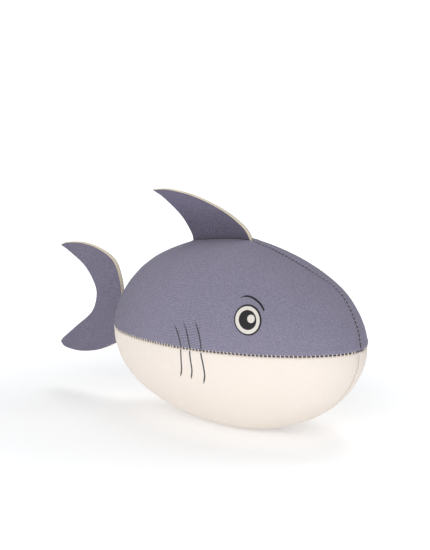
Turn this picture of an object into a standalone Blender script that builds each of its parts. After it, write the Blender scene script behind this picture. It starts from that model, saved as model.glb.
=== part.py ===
"""Stuffed shark toy: four stuffed skin panels, two sheet fins on bending roots, and printed features.

Units are metres. +X points to the nose, +Z up, and the shark's own right side is -Y.
The origin is on the surface that the toy rests on, under the middle of its length.
"""

import math

import bmesh
import bpy
from mathutils import Vector

# Driving dimensions of the stuffed body.
NOSE_X = 0.142
REAR_X = -0.078
HALF_WIDTH = 0.056
BACK_RISE = 0.0735
BELLY_DROP = 0.0670
SEAM_HEIGHT = 0.0648
SEAM_SLOPE = 0.036
MIDDLE_X = (NOSE_X + REAR_X) / 2

# Where each outline of the body is fullest, and how blunt it is behind and in front of that.
BACK_PEAK = (0.0345, 1.93, 1.60)
BELLY_PEAK = (0.0485, 2.12, 1.90)
SIDE_PEAK = (0.0400, 1.68, 1.96)
BACK_FULLNESS = 1.83
BELLY_FULLNESS = 2.04

# Sheet goods and clearances.
SKIN = 0.003
GAP = 0.0003
SEAM_GAP = 0.0011
THREAD_RADIUS = 0.00025
THREAD_DEPTH = 0.0006
FOAM = 0.0030
KNIT = 0.0003
FILM = 0.0003
FIN_HALF = FOAM / 2 + GAP + KNIT
ROOT_CLEARANCE = 0.0020
TAB_DEPTH = 0.0080
TAB_INSET = 0.0006
SLOT_REACH = 0.2
THREAD_END_MARGIN = 0.0012
THREAD_FIN_MARGIN = 0.0010
THREAD_NOSE_MARGIN = 0.0003

# Fin outlines in side view, as (x, z). The root edges follow the body instead.
DORSAL_ROOT = (-0.005, 0.047)
DORSAL_TIP = (-0.0397, 0.1680)
DORSAL_LEADING = ((0.0412, 0.1473), (0.0245, 0.1578), (-0.0010, 0.1667), (-0.0235, 0.1697))
DORSAL_TRAILING = ((-0.0290, 0.1628), (-0.0146, 0.1510), (-0.0070, 0.1393))
TAIL_ROOT_ANGLES = (math.radians(11.5), math.radians(-13.5))
TAIL_LEADING = ((-0.0790, 0.0940), (-0.0849, 0.1078), (-0.0986, 0.1158), (-0.1162, 0.1196))
TAIL_TOP = ((-0.1328, 0.1186), (-0.1391, 0.1163))
TAIL_TRAILING = (
    (-0.1303, 0.1117),
    (-0.1144, 0.1014),
    (-0.1045, 0.0878),
    (-0.1030, 0.0775),
    (-0.1082, 0.0649),
    (-0.1236, 0.0521),
    (-0.1380, 0.0405),
)
TAIL_BOTTOM = ((-0.1415, 0.0366), (-0.1366, 0.0326))
TAIL_LOWER = ((-0.1220, 0.0314), (-0.1060, 0.0339), (-0.0900, 0.0400))
SHEET_ROOT_STEPS = 8

# Printed features on the shark's right side, as (x, z); the left side mirrors them.
EYE_CENTRE = (0.0784, 0.0908)
EYE_HALF = (0.00905, 0.0112)
EYE_TILT = math.radians(45.0)
EYE_OUTLINE = (0.92, 1.0)
EYE_WHITE = (0.68, 0.88)
EYE_PUPIL = 0.64
CATCHLIGHT_CENTRE = (0.0023, 0.0010)
CATCHLIGHT_HALF = (0.0025, 0.0030)
CATCHLIGHT_HOLE = 1.15
BROW = ((0.0684, 0.1045), (0.0793, 0.1088), (0.0882, 0.0976))
GILL_TOPS = ((0.0166, 0.0808), (0.0264, 0.0833), (0.0366, 0.0860))
GILL_BENDS = ((0.0239, 0.0751), (0.0330, 0.0747), (0.0436, 0.0782))
GILL_SEAM_X = (0.0257, 0.0344, 0.0447)
GILL_FEET = ((0.0231, 0.0430), (0.0333, 0.0428), (0.0441, 0.0408))
GILL_BOW = 0.0026
INK_WIDTH = 0.0011
INK_TAPER = 0.6

GREY = (0.24, 0.22, 0.30)
CREAM = (0.87, 0.80, 0.71)
FOAM_CREAM = (0.80, 0.70, 0.55)
INK = (0.03, 0.03, 0.035)
WHITE = (0.82, 0.78, 0.72)
FIBRE = (0.85, 0.85, 0.83)
SIDES = (("right", -1), ("left", 1))
SPHERE_SEGMENTS = 32
SPHERE_RINGS = 24
DISC_SEGMENTS = 24
LONG_RUN_STEPS = 30
REAR_RUN_STEPS = 14
FRONT_RUN_STEPS = 18


def clear_scene():
    for obj in list(bpy.data.objects):
        bpy.data.objects.remove(obj)


def make_collection(name, hidden):
    collection = bpy.data.collections.new(name)
    collection.hide_render = hidden
    bpy.context.scene.collection.children.link(collection)
    return collection


def make_material(name, colour, roughness):
    material = bpy.data.materials.new(name)
    material.use_nodes = True
    shader = material.node_tree.nodes["Principled BSDF"]
    shader.inputs["Base Color"].default_value = (*colour, 1.0)
    shader.inputs["Roughness"].default_value = roughness
    shader.inputs["Metallic"].default_value = 0.0
    return material


def add_node(name, data, colour, roughness=0.85):
    """Adds a named piece of the toy with a material of its own."""
    obj = bpy.data.objects.new(name, data)
    data.materials.append(make_material(name, colour, roughness))
    PARTS.objects.link(obj)
    return obj


def mesh_from(bm, name):
    mesh = bpy.data.meshes.new(name)
    bm.to_mesh(mesh)
    bm.free()
    return mesh


def smooth_mesh_from(bm, name):
    mesh = mesh_from(bm, name)
    mesh.shade_smooth()
    return mesh


# The shape of the body.


def swell(x, peak):
    """The share of its full size that an outline has at x: 1 at its peak and 0 at both ends."""
    peak_x, rear_power, front_power = peak
    if x < peak_x:
        share = (peak_x - x) / (peak_x - REAR_X)
        power = rear_power
    else:
        share = (x - peak_x) / (NOSE_X - peak_x)
        power = front_power
    return math.sqrt(max(1.0 - min(share, 1.0) ** power, 0.0))


def seam_z(x):
    return SEAM_HEIGHT + SEAM_SLOPE * (x - MIDDLE_X)


def section_height(x, upward):
    if upward:
        return BACK_RISE * swell(x, BACK_PEAK), BACK_FULLNESS
    return BELLY_DROP * swell(x, BELLY_PEAK), BELLY_FULLNESS


def skin_point(x, angle):
    """A point of the skin. The angle runs round the body from +Y upwards; the belly rests flat on z = 0."""
    across = math.cos(angle)
    up = math.sin(angle)
    height, fullness = section_height(x, up > 0)
    y = HALF_WIDTH * swell(x, SIDE_PEAK) * math.copysign(abs(across) ** (2 / fullness), across)
    z = seam_z(x) + height * math.copysign(abs(up) ** (2 / fullness), up)
    return Vector((x, y, max(z, 0.0)))


def skin_frame(x, angle, step=0.0001):
    """A point of the skin and its outward normal there."""
    along = skin_point(x + step, angle) - skin_point(x - step, angle)
    around = skin_point(x, angle + step) - skin_point(x, angle - step)
    return skin_point(x, angle), around.cross(along).normalized()


def angle_at(x, z, side):
    """The angle round the body at which the skin passes (x, z) on the given side."""
    rise = z - seam_z(x)
    height, fullness = section_height(x, rise > 0)
    angle = math.asin(min((abs(rise) / height) ** (fullness / 2), 1.0))
    angle = math.copysign(angle, rise)
    return angle if side > 0 else math.pi - angle


def body_sphere(inset=0.0):
    """The body's closed surface, from a sphere whose poles go to the nose and the rear."""
    bm = bmesh.new()
    bmesh.ops.create_uvsphere(bm, u_segments=SPHERE_SEGMENTS, v_segments=SPHERE_RINGS, radius=1.0)
    half_length = (NOSE_X - REAR_X) / 2
    for vertex in bm.verts:
        angle = math.atan2(vertex.co.y, vertex.co.x)
        vertex.co = skin_point(MIDDLE_X + half_length * vertex.co.z, angle)
    bm.normal_update()
    moves = [vertex.normal * inset for vertex in bm.verts]
    for vertex, move in zip(bm.verts, moves):
        vertex.co -= move
    return bm


# Cutters.


def add_cutter(name, low, high):
    """A box between two corners."""
    bm = bmesh.new()
    bmesh.ops.create_cube(bm, size=1.0)
    for vertex in bm.verts:
        vertex.co = [b if side > 0 else a for a, b, side in zip(low, high, vertex.co)]
    cutter = bpy.data.objects.new(name, mesh_from(bm, name))
    cutter.hide_render = True
    cutter.display_type = "WIRE"
    CUTTERS.objects.link(cutter)
    return cutter


def cut(obj, cutter):
    modifier = obj.modifiers.new(cutter.name, "BOOLEAN")
    modifier.operation = "DIFFERENCE"
    modifier.object = cutter


def root_slots():
    """The slots in the skin and the filling where the fins' tabs are sewn in."""
    half = FIN_HALF + GAP
    rear, front = DORSAL_ROOT
    floor = skin_point(rear, math.pi / 2).z - SKIN - TAB_DEPTH - GAP
    dorsal = add_cutter("dorsal_slot", (rear - GAP, -half, floor), (front + GAP, half, SLOT_REACH))
    top, bottom = (tail_root_point(angle, 0.0) for angle in TAIL_ROOT_ANGLES)
    depth = REAR_X + SKIN + TAB_DEPTH + GAP
    tail = add_cutter("tail_slot", (-SLOT_REACH, -half, bottom[1] - GAP), (depth, half, top[1] + GAP))
    return dorsal, tail


# Stuffed body.


def panel_surface(side, upward):
    """The quarter of the body's surface that one skin panel covers, half a seam gap off each seam."""
    bm = body_sphere()
    across = Vector((0.0, side, 0.0))
    up = Vector((-SEAM_SLOPE, 0.0, 1.0)).normalized()
    if not upward:
        up.negate()
    for normal in (across, up):
        start = Vector((MIDDLE_X, 0.0, SEAM_HEIGHT)) + normal * (SEAM_GAP / 2)
        everything = bm.verts[:] + bm.edges[:] + bm.faces[:]
        bmesh.ops.bisect_plane(
            bm, geom=everything, dist=1e-7, plane_co=start, plane_no=normal, clear_inner=True
        )
    return bm


def skin_panels(slots):
    for word, side in SIDES:
        for part, upward, colour in (("upper", True, GREY), ("belly", False, CREAM)):
            name = f"{part}_panel_{word}"
            panel = add_node(name, smooth_mesh_from(panel_surface(side, upward), name), colour)
            solidify = panel.modifiers.new("skin", "SOLIDIFY")
            solidify.thickness = SKIN
            solidify.offset = -1.0
            for slot in slots if upward else slots[1:]:
                cut(panel, slot)


def fibre_filling(slots):
    mesh = smooth_mesh_from(body_sphere(SKIN + GAP), "fibre_filling")
    filling = add_node("fibre_filling", mesh, FIBRE, 1.0)
    for slot in slots:
        cut(filling, slot)


def add_thread(name, colour, points):
    """A run of sewing thread, as a thin tube through the points."""
    curve = bpy.data.curves.new(name, "CURVE")
    curve.dimensions = "3D"
    curve.bevel_depth = THREAD_RADIUS
    curve.bevel_resolution = 1
    curve.use_fill_caps = True
    spline = curve.splines.new("POLY")
    spline.points.add(len(points) - 1)
    for target, point in zip(spline.points, points):
        target.co = (*point, 1.0)
    add_node(name, curve, colour, 0.6)


def sunk_run(start_x, end_x, angle, steps):
    """Points along the body at one angle, sunk into the seam, and closer together towards both ends."""
    points = []
    for step in range(steps + 1):
        share = 0.5 - 0.5 * math.cos(math.pi * step / steps)
        point, normal = skin_frame(start_x + (end_x - start_x) * share, angle)
        points.append(point - normal * THREAD_DEPTH)
    return points


def side_seam_threads():
    for word, side in SIDES:
        angle = 0.0 if side > 0 else math.pi
        run = sunk_run(REAR_X + THREAD_END_MARGIN, NOSE_X - THREAD_END_MARGIN, angle, LONG_RUN_STEPS)
        add_thread(f"side_seam_thread_{word}", CREAM, run)


def middle_seam_threads():
    """The back seam's thread, in two runs that stop at the dorsal fin, and the belly seam's thread."""
    top, bottom = (tail_root_point(angle, 0.0)[0] for angle in TAIL_ROOT_ANGLES)
    rear, front = DORSAL_ROOT
    nose = NOSE_X - THREAD_NOSE_MARGIN
    up = math.pi / 2
    rear_run = sunk_run(top + THREAD_FIN_MARGIN, rear - THREAD_FIN_MARGIN, up, REAR_RUN_STEPS)
    front_run = sunk_run(front + THREAD_FIN_MARGIN, nose, up, FRONT_RUN_STEPS)
    belly_run = sunk_run(bottom + THREAD_FIN_MARGIN, nose, -up, LONG_RUN_STEPS)
    add_thread("back_seam_thread_rear", GREY, rear_run)
    add_thread("back_seam_thread_front", GREY, front_run)
    add_thread("belly_seam_thread", CREAM, belly_run)


# Fins.


def tail_root_point(angle, clearance):
    """A point in side view off the rear end of the body, at an angle from its long axis: up is positive."""
    x = MIDDLE_X - (MIDDLE_X - REAR_X) * math.cos(angle)
    point, normal = skin_frame(x, math.copysign(math.pi / 2, angle))
    return point.x + normal.x * clearance, point.z + normal.z * clearance


def dorsal_root_edge(clearance):
    rear, front = DORSAL_ROOT
    edge = []
    for step in range(SHEET_ROOT_STEPS + 1):
        x = rear + (front - rear) * step / SHEET_ROOT_STEPS
        edge.append((x, skin_point(x, math.pi / 2).z + clearance))
    return edge


def tail_root_edge(clearance):
    top, bottom = TAIL_ROOT_ANGLES
    edge = []
    for step in range(SHEET_ROOT_STEPS + 1):
        angle = bottom + (top - bottom) * step / SHEET_ROOT_STEPS
        edge.append(tail_root_point(angle, clearance))
    return edge


def add_sheet(name, outline, thickness, y, colour, hinge):
    """A flat sheet in the XZ plane. The outline is a list of (point, is_smooth)."""
    curve = bpy.data.curves.new(name, "CURVE")
    curve.dimensions = "2D"
    curve.fill_mode = "BOTH"
    curve.extrude = thickness / 2
    curve.resolution_u = 6
    spline = curve.splines.new("BEZIER")
    spline.bezier_points.add(len(outline) - 1)
    spline.use_cyclic_u = True
    for target, ((x, z), is_smooth) in zip(spline.bezier_points, outline):
        target.co = (x - hinge.location.x, z - hinge.location.z, 0.0)
        target.handle_left_type = "AUTO" if is_smooth else "VECTOR"
        target.handle_right_type = "AUTO" if is_smooth else "VECTOR"
    sheet = add_node(name, curve, colour)
    sheet.parent = hinge
    sheet.location = (0.0, y, 0.0)
    sheet.rotation_euler.x = math.pi / 2
    return sheet


def add_hinge(name, x, z):
    """An empty on a fin's bending axis."""
    hinge = bpy.data.objects.new(name, None)
    hinge.location = (x, 0.0, z)
    PARTS.objects.link(hinge)
    return hinge


def add_fin(name, outline, hinge):
    """Foam between two knit faces."""
    face_y = FOAM / 2 + GAP + KNIT / 2
    add_sheet(f"{name}_foam_core", outline, FOAM, 0.0, FOAM_CREAM, hinge)
    for word, side in SIDES:
        add_sheet(f"{name}_{word}_face", outline, KNIT, side * face_y, GREY, hinge)


def smooth(points):
    return [(point, True) for point in points]


def corner(points):
    return [(point, False) for point in points]


def dorsal_fin():
    edge = dorsal_root_edge(ROOT_CLEARANCE)
    outline = corner(edge) + smooth(DORSAL_LEADING) + corner([DORSAL_TIP]) + smooth(DORSAL_TRAILING)
    middle = (Vector(edge[0]) + Vector(edge[-1])) / 2
    hinge = add_hinge("dorsal_fin_hinge", middle.x, middle.y)
    add_fin("dorsal_fin", outline, hinge)
    tab_top = dorsal_root_edge(-TAB_INSET)
    foot = tab_top[0][1] - TAB_DEPTH
    tab = tab_top + [(DORSAL_ROOT[1], foot), (DORSAL_ROOT[0], foot)]
    root = add_hinge("dorsal_fin_root", middle.x, middle.y)
    add_sheet("dorsal_fin_root_tab", corner(tab), 2 * FIN_HALF, 0.0, GREY, root)


def tail_fin():
    edge = tail_root_edge(ROOT_CLEARANCE)
    outline = corner(edge) + smooth(TAIL_LEADING + TAIL_TOP + TAIL_TRAILING)
    outline += smooth(TAIL_BOTTOM + TAIL_LOWER)
    hinge = add_hinge("tail_fin_hinge", REAR_X - ROOT_CLEARANCE, SEAM_HEIGHT)
    add_fin("tail_fin", outline, hinge)
    tab_rear = tail_root_edge(-TAB_INSET)
    inner = REAR_X + TAB_INSET + TAB_DEPTH
    tab = tab_rear + [(inner, tab_rear[-1][1]), (inner, tab_rear[0][1])]
    root = add_hinge("tail_fin_root", REAR_X, SEAM_HEIGHT)
    add_sheet("tail_fin_root_tab", corner(tab), 2 * FIN_HALF, 0.0, GREY, root)


# Printed features.


def add_film(name, bm, colour, side):
    """Lays flat shapes, drawn with x and z in co.x and co.y, on one side of the skin as a thin film."""
    outward = Vector((0.0, side, 0.0))
    for vertex in bm.verts:
        x, z = vertex.co.x, vertex.co.y
        point, normal = skin_frame(x, angle_at(x, z, side))
        vertex.co = point + normal * GAP
    bm.normal_update()
    turned = [face for face in bm.faces if face.normal.dot(outward) < 0]
    bmesh.ops.reverse_faces(bm, faces=turned)
    film = add_node(name, smooth_mesh_from(bm, name), colour, 0.5)
    solidify = film.modifiers.new("film", "SOLIDIFY")
    solidify.thickness = FILM
    solidify.offset = 1.0


def place_ellipse(vertices, centre, half):
    """Moves unit-circle vertices onto an ellipse that leans back with the eye."""
    lean_x = math.sin(EYE_TILT)
    lean_z = math.cos(EYE_TILT)
    for vertex in vertices:
        across = vertex.co.x * half[0]
        up = vertex.co.y * half[1]
        vertex.co.x = centre[0] + across * lean_z - up * lean_x
        vertex.co.y = centre[1] + across * lean_x + up * lean_z


def add_disc(bm, centre, half):
    made = bmesh.ops.create_circle(
        bm, cap_ends=True, cap_tris=True, segments=DISC_SEGMENTS, radius=1.0
    )
    place_ellipse(made["verts"], centre, half)


def add_ring(bm, loops):
    """A ring between two ellipses, each given as (centre, half sizes, share of those sizes)."""
    edges = []
    for centre, half, share in loops:
        made = bmesh.ops.create_circle(bm, cap_ends=False, segments=DISC_SEGMENTS, radius=share)
        edges += [edge for edge in bm.edges if edge.verts[0] in made["verts"]]
        place_ellipse(made["verts"], centre, half)
    bmesh.ops.bridge_loops(bm, edges=edges)


def add_stroke(bm, start, bend, end, steps=8):
    """A tapered pen stroke along a curve with one control point."""
    made = bmesh.ops.create_grid(bm, x_segments=steps, y_segments=1, size=0.5)
    start, bend, end = Vector(start), Vector(bend), Vector(end)
    for vertex in made["verts"]:
        share = vertex.co.x + 0.5
        point = start * (1 - share) ** 2 + bend * 2 * share * (1 - share) + end * share**2
        heading = (bend - start) * (1 - share) + (end - bend) * share
        heading.normalize()
        width = INK_WIDTH * (1.0 - INK_TAPER * abs(2 * share - 1) ** 3)
        point += Vector((-heading.y, heading.x)) * vertex.co.y * width
        vertex.co = (point.x, point.y, 0.0)


def eye_prints(word, side):
    """The eye's rings, the pupil with a hole for the catchlight, and the catchlight."""
    glint_centre = (EYE_CENTRE[0] + CATCHLIGHT_CENTRE[0], EYE_CENTRE[1] + CATCHLIGHT_CENTRE[1])
    hole = (glint_centre, CATCHLIGHT_HALF, CATCHLIGHT_HOLE)
    outline = [(EYE_CENTRE, EYE_HALF, share) for share in EYE_OUTLINE]
    white = [(EYE_CENTRE, EYE_HALF, share) for share in EYE_WHITE]
    pupil = [(EYE_CENTRE, EYE_HALF, EYE_PUPIL), hole]
    rings = (("outline", outline, INK), ("white", white, WHITE), ("pupil", pupil, INK))
    for part, loops, colour in rings:
        ring = bmesh.new()
        add_ring(ring, loops)
        add_film(f"eye_{part}_{word}", ring, colour, side)
    glint = bmesh.new()
    add_disc(glint, glint_centre, CATCHLIGHT_HALF)
    add_film(f"eye_catchlight_{word}", glint, WHITE, side)


def gill_prints(word, side):
    """Gill lines, each printed in two halves that stop at the side seam."""
    gills = zip(GILL_TOPS, GILL_BENDS, GILL_SEAM_X, GILL_FEET)
    for number, (top, bend, seam_x, foot) in enumerate(gills, start=1):
        above = (seam_x, seam_z(seam_x) + SEAM_GAP)
        below = (seam_x, seam_z(seam_x) - SEAM_GAP)
        lower_bend = ((seam_x + foot[0]) / 2 + GILL_BOW, (below[1] + foot[1]) / 2)
        for part, points in (("upper", (top, bend, above)), ("lower", (below, lower_bend, foot))):
            stroke = bmesh.new()
            add_stroke(stroke, *points)
            add_film(f"{part}_gill_{number}_{word}", stroke, INK, side)


def printed_features():
    for word, side in SIDES:
        eye_prints(word, side)
        brow = bmesh.new()
        add_stroke(brow, *BROW)
        add_film(f"brow_ink_{word}", brow, INK, side)
        gill_prints(word, side)


clear_scene()
PARTS = make_collection("plush_shark", False)
CUTTERS = make_collection("cutters", True)
SLOTS = root_slots()
skin_panels(SLOTS)
fibre_filling(SLOTS)
side_seam_threads()
middle_seam_threads()
dorsal_fin()
tail_fin()
printed_features()
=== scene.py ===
"""The looks of the stuffed shark toy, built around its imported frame.

Metres, +X to the nose, +Z up. The shark's own right side is -Y, and the camera looks at that side.
"""

import math

import bmesh
import bpy
import numpy as np
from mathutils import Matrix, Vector
from mathutils.bvhtree import BVHTree


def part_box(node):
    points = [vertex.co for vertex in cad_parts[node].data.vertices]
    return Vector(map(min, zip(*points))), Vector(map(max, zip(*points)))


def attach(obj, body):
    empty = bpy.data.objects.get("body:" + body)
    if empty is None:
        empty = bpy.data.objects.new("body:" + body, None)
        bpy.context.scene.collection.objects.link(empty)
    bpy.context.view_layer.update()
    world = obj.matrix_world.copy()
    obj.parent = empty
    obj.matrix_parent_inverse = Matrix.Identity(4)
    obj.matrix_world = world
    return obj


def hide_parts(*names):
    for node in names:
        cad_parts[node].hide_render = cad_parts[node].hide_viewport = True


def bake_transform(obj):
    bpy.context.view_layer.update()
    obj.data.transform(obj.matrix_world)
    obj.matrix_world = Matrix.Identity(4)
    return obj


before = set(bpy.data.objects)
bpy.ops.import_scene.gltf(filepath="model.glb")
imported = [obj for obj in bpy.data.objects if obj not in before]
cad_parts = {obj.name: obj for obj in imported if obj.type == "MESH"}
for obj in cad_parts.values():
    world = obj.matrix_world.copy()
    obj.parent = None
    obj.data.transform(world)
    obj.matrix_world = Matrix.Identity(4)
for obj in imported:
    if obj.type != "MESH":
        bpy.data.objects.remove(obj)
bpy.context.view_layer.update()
MM = 0.001
SIDES = (("right", -1), ("left", 1))

# The body's size, read from the frame, and the shape that its outlines follow between their ends.
BODY_LOW, BODY_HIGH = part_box("upper_panel_right")
REAR_X = round(BODY_LOW.x, 3)
NOSE_X = round(BODY_HIGH.x, 3)
HALF_WIDTH = round(-BODY_LOW.y, 3)
MIDDLE_X = (NOSE_X + REAR_X) / 2
HALF_LENGTH = (NOSE_X - REAR_X) / 2
BACK_RISE = 73.5 * MM
BELLY_DROP = 67.0 * MM
SEAM_HEIGHT = 64.8 * MM
SEAM_SLOPE = 0.036
# Where each outline is fullest, and the power of its curve towards the rear and towards the nose.
BACK_PEAK = (34.5 * MM, 1.93, 1.60)
BELLY_PEAK = (48.5 * MM, 2.12, 1.90)
SIDE_PEAK = (40.0 * MM, 1.68, 1.96)
# The power of each half's cross-section, where 2 is an ellipse.
BACK_FULLNESS = 1.83
BELLY_FULLNESS = 2.04

# Each skin panel's grid: columns from the rear to the nose, and rows from the side seam to the centre seam.
COLUMNS = 300
ROWS = 44
EVEN_AND_EASED = (0.18, 0.82)
GRIDS = {}

# Sewing. A reach is how far something goes in from a seam before it fades.
SKIN = 2.8 * MM
EDGE_ROLL = 1.3 * MM
STITCH_PITCH = 3.05 * MM
DENT_DEPTH = 0.16 * MM
DENT_REACH = 1.8 * MM
PUCKER_DEPTH = 0.10 * MM
PUCKER_TURN = 1.9 * MM
PUCKER_REACH = 7 * MM
TROUGH_DEPTH = 0.5 * MM
TROUGH_REACH = 4.0 * MM
SIDE_GAP = 0.42 * MM
CENTRE_OVERLAP = 0.30 * MM
GAP_REACH = 1.5 * MM
CENTRE_PULL = 0.5
# Towards the rear the side seam is shallower, and every seam's stitches are thinner and flatter.
SHALLOW_REAR = 0.60
SHALLOW_UNTIL = (30 * MM, 90 * MM)
TIGHT_REAR = 0.35
TIGHT_UNTIL = (40 * MM, 90 * MM)
# The back seam bows to the left over the snout.
SEAM_WANDER = 2.6 * MM
WANDER_X = 119 * MM

# Stuffing, as the height and the width of its lumps.
BIG_LUMPS = (0.32 * MM, 62 * MM)
SMALL_LUMPS = (0.07 * MM, 17 * MM)
FLAT_BELOW = 4 * MM
SNOUT_OVERHANG = 0.55 * MM
SNOUT_FROM = (0.105, 0.135)
# Flats and humps on the back: height on the right and on the left, x, length, and reach down the sides.
RIDGE_LUMPS = (
    (0.9 * MM, 0.9 * MM, -45 * MM, 30 * MM, 25 * MM),
    (-1.1 * MM, 0.1 * MM, 86 * MM, 28 * MM, 22 * MM),
    (1.5 * MM, 1.5 * MM, 123 * MM, 13 * MM, 16 * MM),
)

# Where the fins are sewn in, read from the frame.
FIN_HALF = 2.1 * MM
FIN_CLEARANCE = 0.1 * MM
DORSAL_ROOT = tuple(corner.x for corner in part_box("dorsal_fin_root_tab"))
TAIL_ROOT = tuple(corner.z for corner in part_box("tail_fin_root_tab"))


# Small numeric helpers.


def unit(vectors):
    return vectors / np.maximum(np.linalg.norm(vectors, axis=-1, keepdims=True), 1e-12)


def soft_noise(points, wavelength, seed, waves=9):
    """Smooth noise between about -1 and 1: a sum of plane waves in fixed pseudo-random directions."""
    rng = np.random.default_rng(seed)
    total = np.zeros(points.shape[:-1])
    for _ in range(waves):
        direction = unit(rng.normal(size=3))
        stretch = rng.uniform(0.7, 1.5)
        phase = rng.uniform(0, 2 * math.pi)
        total += np.sin(points @ direction * 2 * math.pi * stretch / wavelength + phase)
    return total / math.sqrt(waves * 2)


def smooth_step(value, low, high):
    share = np.clip((value - low) / (high - low), 0, 1)
    return share * share * (3 - 2 * share)


def hump(distance, reach):
    return np.exp(-((distance / reach) ** 2))


def band(first, second, rows):
    """A grid of points between two lines of points."""
    share = np.linspace(0, 1, rows)[None, :, None]
    return first[:, None] * (1 - share) + second[:, None] * share


def new_object(name, vertices, faces, material):
    mesh = bpy.data.meshes.new(name)
    mesh.from_pydata([tuple(v) for v in vertices], [], faces)
    mesh.validate()
    mesh.shade_smooth()
    mesh.materials.append(material)
    obj = bpy.data.objects.new(name, mesh)
    bpy.context.scene.collection.objects.link(obj)
    return obj


def grid_faces(columns, rows, start, flip):
    index = start + np.arange(columns * rows).reshape(columns, rows)
    a, b = index[:-1, :-1].ravel(), index[1:, :-1].ravel()
    c, d = index[1:, 1:].ravel(), index[:-1, 1:].ravel()
    return np.stack([a, d, c, b] if flip else [a, b, c, d], axis=-1)


def ring_faces(count, sides, flip=False):
    """The faces of a closed tube: its rings of points in order, and then the middles of its two ends."""
    faces = []
    for i in range(count - 1):
        near, far = i * sides, (i + 1) * sides
        for j in range(sides):
            k = (j + 1) % sides
            a, b, c, d = near + j, near + k, far + k, far + j
            faces.append([a, d, c, b] if flip else [a, b, c, d])
    last = (count - 1) * sides
    for j in range(sides):
        k = (j + 1) % sides
        a, b = (j, k) if flip else (k, j)
        faces.append([a, b, count * sides])
        faces.append([last + b, last + a, count * sides + 1])
    return faces


def border_loop(columns, rows, start):
    index = start + np.arange(columns * rows).reshape(columns, rows)
    return np.concatenate([index[:-1, 0], index[-1, :-1], index[:0:-1, -1], index[0, :0:-1]])


def slab(outer, inner, flip=False, edge_rows=()):
    """A closed solid between two grids of points, with any further loops of points down its edge."""
    columns, rows = outer.shape[:2]
    size = columns * rows
    vertices = [outer.reshape(-1, 3), inner.reshape(-1, 3)]
    faces = [grid_faces(columns, rows, 0, flip), grid_faces(columns, rows, size, not flip)]
    loops = [border_loop(columns, rows, 0)]
    start = 2 * size
    for points in edge_rows:
        vertices.append(points)
        loops.append(np.arange(start, start + len(points)))
        start += len(points)
    loops.append(border_loop(columns, rows, size))
    for upper, lower in zip(loops, loops[1:]):
        after_upper, after_lower = np.roll(upper, -1), np.roll(lower, -1)
        order = [upper, lower, after_lower, after_upper]
        faces.append(np.stack(order[::-1] if flip else order, axis=-1))
    return np.concatenate(vertices), np.concatenate(faces).tolist()


def outward(vertices, faces):
    """The faces, turned if need be so that the closed solid isn't inside out."""
    a, b, c = (vertices[[face[k] for face in faces]] for k in (0, 1, 2))
    d = vertices[[face[-1] for face in faces]]
    volume = np.einsum("ij,ij->i", a, np.cross(b, c)).sum() + np.einsum("ij,ij->i", a, np.cross(c, d)).sum()
    return faces if volume > 0 else [face[::-1] for face in faces]


# The body's smooth surface.


def swell(x, peak):
    peak_x, rear_power, front_power = peak
    share = np.where(x < peak_x, (peak_x - x) / (peak_x - REAR_X), (x - peak_x) / (NOSE_X - peak_x))
    power = np.where(x < peak_x, rear_power, front_power)
    return np.sqrt(np.maximum(1.0 - np.clip(share, 0, 1) ** power, 0.0))


def seam_z(x):
    return SEAM_HEIGHT + SEAM_SLOPE * (x - MIDDLE_X)


def skin_points(x, angle):
    """Points of the smooth skin. The angle runs round the body from +Y upwards."""
    across, up = np.cos(angle), np.sin(angle)
    is_back = up > 0
    height = np.where(is_back, BACK_RISE * swell(x, BACK_PEAK), BELLY_DROP * swell(x, BELLY_PEAK))
    power = 2 / np.where(is_back, BACK_FULLNESS, BELLY_FULLNESS)
    y = HALF_WIDTH * swell(x, SIDE_PEAK) * np.sign(across) * np.abs(across) ** power
    z = seam_z(x) + height * np.sign(up) * np.abs(up) ** power
    return np.stack([x + 0 * y, y, np.maximum(z, 0.0)], axis=-1)


def skin_normals(x, angle, step=1e-4):
    along = skin_points(x + step, angle) - skin_points(x - step, angle)
    around = skin_points(x, angle + step) - skin_points(x, angle - step)
    return unit(np.cross(around, along))


def angle_at(x, z, side):
    """The angle round the body at which the skin passes (x, z) on one side."""
    rise = z - seam_z(x)
    is_back = rise > 0
    height = np.where(is_back, BACK_RISE * swell(x, BACK_PEAK), BELLY_DROP * swell(x, BELLY_PEAK))
    fullness = np.where(is_back, BACK_FULLNESS, BELLY_FULLNESS)
    angle = np.arcsin(np.minimum((np.abs(rise) / height) ** (fullness / 2), 1.0)) * np.sign(rise)
    return angle if side > 0 else math.pi - angle


def even_columns():
    """Places along the body, evenly spaced along the side seam, from the rear to the nose."""
    turn = np.linspace(0.012, math.pi - 0.012, 4000)
    x = MIDDLE_X - HALF_LENGTH * np.cos(turn)
    line = skin_points(x, np.zeros_like(x))
    travelled = np.concatenate([[0], np.cumsum(np.linalg.norm(np.diff(line, axis=0), axis=-1))])
    return np.interp(np.linspace(0, travelled[-1], COLUMNS), travelled, x)


def travel(points, axis):
    steps = np.linalg.norm(np.diff(points, axis=axis), axis=-1)
    pad = np.zeros_like(np.take(steps, [0], axis=axis))
    return np.concatenate([pad, np.cumsum(steps, axis=axis)], axis=axis)


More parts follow.
